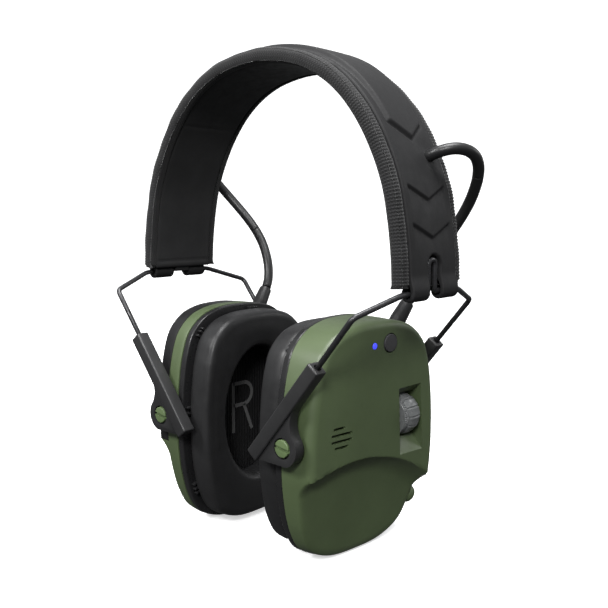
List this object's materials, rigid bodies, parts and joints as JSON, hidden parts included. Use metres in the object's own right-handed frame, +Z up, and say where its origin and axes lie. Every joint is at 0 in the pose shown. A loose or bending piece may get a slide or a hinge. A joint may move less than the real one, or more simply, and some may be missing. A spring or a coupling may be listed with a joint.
{
  "type": "electronic earmuff hearing protector",
  "caption": "Over-ear hearing protector: padded headband, folding wire yokes, sliding arms and tilting cushioned cups with electronics.",
  "frame": {"origin": "underside of the band's crown, where it rests on the top of the head", "axes": "+X the wearer's left, -Y the wearer's front, +Z up"},
  "size_m": [0.1622, 0.086, 0.2098],
  "materials": {
    "spring_steel": "blued spring strip",
    "band_fabric": "ribbed mesh fabric",
    "cover_rubber": "matte moulded rubber",
    "band_leather": "smooth leatherette",
    "olive_shell": "satin olive green",
    "black_plastic": "satin black",
    "door_black": "satin black",
    "arm_nylon": "satin black nylon",
    "olive_screw": "satin olive green",
    "black_wire": "black coated wire",
    "cushion_leather": "soft black skin",
    "ear_foam": "black open foam",
    "cable_rubber": "satin black sheath",
    "knob_grey": "silver grey",
    "button_grey": "dark grey",
    "blue_lens": "blue violet lens",
    "board_green": "solder mask",
    "component_metal": "tinned can",
    "cell_can": "printed foil, left plain"
  },
  "bodies": {
    "headband": {"band_spring": "spring_steel", "band_pad": "band_fabric", "band_cover": "cover_rubber", "band_liner": "band_leather", "left_cable": "cable_rubber", "right_cable": "cable_rubber"},
    "left_yoke": {"left_yoke_wire": "black_wire"},
    "left_slider": {"left_front_arm": "arm_nylon", "left_rear_arm": "arm_nylon"},
    "left_cup": {"left_shell": "olive_shell", "left_base_ring": "black_plastic", "left_cushion_plate": "black_plastic", "left_cushion": "cushion_leather", "left_foam_liner": "ear_foam", "left_speaker": "black_plastic", "left_strain_relief": "cable_rubber", "left_front_screw": "olive_screw", "left_rear_screw": "olive_screw", "volume_pot": "component_metal", "button_switch": "black_plastic", "status_lens": "blue_lens", "circuit_board": "board_green", "left_microphone": "component_metal"},
    "right_yoke": {"right_yoke_wire": "black_wire"},
    "right_slider": {"right_front_arm": "arm_nylon", "right_rear_arm": "arm_nylon"},
    "right_cup": {"right_shell": "olive_shell", "right_base_ring": "black_plastic", "right_cushion_plate": "black_plastic", "right_cushion": "cushion_leather", "right_foam_liner": "ear_foam", "right_speaker": "black_plastic", "right_strain_relief": "cable_rubber", "right_front_screw": "olive_screw", "right_rear_screw": "olive_screw", "battery_tray": "black_plastic", "front_battery_cell": "cell_can", "rear_battery_cell": "cell_can"},
    "volume_knob": {"volume_knob": "knob_grey"},
    "power_button": {"power_button": "button_grey"},
    "port_plug": {"port_plug": "olive_shell"},
    "battery_door": {"battery_door": "door_black"}
  },
  "joints": [
    {"name": "left_fold", "type": "hinge", "parent": "headband", "child": "left_yoke", "pos_m": [0.0739, 0, -0.0893], "axis": [0, 1, 0], "range_deg": [0, 15], "deforming": ["left_cable"]},
    {"name": "left_height", "type": "slide", "parent": "left_yoke", "child": "left_slider", "axis": [-0.6293, 0, -0.7771], "range_m": [-0.02, 0.015], "deforming": ["left_cable"]},
    {"name": "left_tilt", "type": "hinge", "parent": "left_slider", "child": "left_cup", "pos_m": [0.03637, 0, -0.14854], "axis": [0, 1, 0], "range_deg": [-10, 10], "deforming": ["left_cable"]},
    {"name": "right_fold", "type": "hinge", "parent": "headband", "child": "right_yoke", "pos_m": [-0.0739, 0, -0.0893], "axis": [0, 1, 0], "range_deg": [-15, 0], "deforming": ["right_cable"]},
    {"name": "right_height", "type": "slide", "parent": "right_yoke", "child": "right_slider", "axis": [-0.6293, 0, 0.7771], "range_m": [-0.015, 0.02], "deforming": ["right_cable"]},
    {"name": "right_tilt", "type": "hinge", "parent": "right_slider", "child": "right_cup", "pos_m": [-0.03637, 0, -0.14854], "axis": [0, 1, 0], "range_deg": [-10, 10], "deforming": ["right_cable"]},
    {"name": "volume_turn", "type": "hinge", "parent": "left_cup", "child": "volume_knob", "pos_m": [0.0465, 0.02, -0.145], "axis": [0, 1, 0], "range_deg": [0, 280]},
    {"name": "power_press", "type": "slide", "parent": "left_cup", "child": "power_button", "axis": [-0.9929, 0.1191, 0], "range_m": [0, 0.0008], "stiffness_N_per_m": 1500},
    {"name": "plug_pull", "type": "slide", "parent": "left_cup", "child": "port_plug", "axis": [0.4206, 0.721, -0.5507], "range_m": [0, 0.006]},
    {"name": "door_pull", "type": "slide", "parent": "right_cup", "child": "battery_door", "axis": [-1, 0, 0], "range_m": [0, 0.01]}
  ]
}
